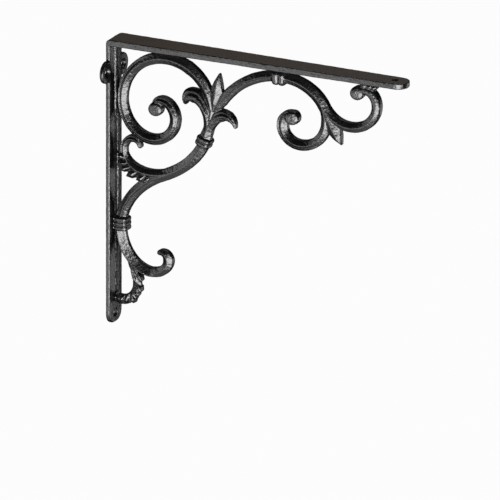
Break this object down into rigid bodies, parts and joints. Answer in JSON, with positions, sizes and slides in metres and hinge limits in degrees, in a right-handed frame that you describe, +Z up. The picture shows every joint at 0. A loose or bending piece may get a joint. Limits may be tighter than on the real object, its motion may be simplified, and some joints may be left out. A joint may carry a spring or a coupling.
{
  "type": "shelf bracket",
  "caption": "Ornate cast iron shelf bracket: a flat L-shaped strap with openwork scrolls, leaves and banded collars in its corner, and ears with countersunk screw holes.",
  "frame": {"origin": "on the back face of the wall plate, on its centreline and half way up", "axes": "+X out from the wall along the arm, +Y across the strap, +Z up"},
  "size_m": [0.236, 0.0402, 0.2126],
  "materials": {
    "cast_iron": "satin black painted casting with a fine orange-peel texture"
  },
  "bodies": {
    "root": {"shelf_bracket": "cast_iron"}
  },
  "joints": []
}
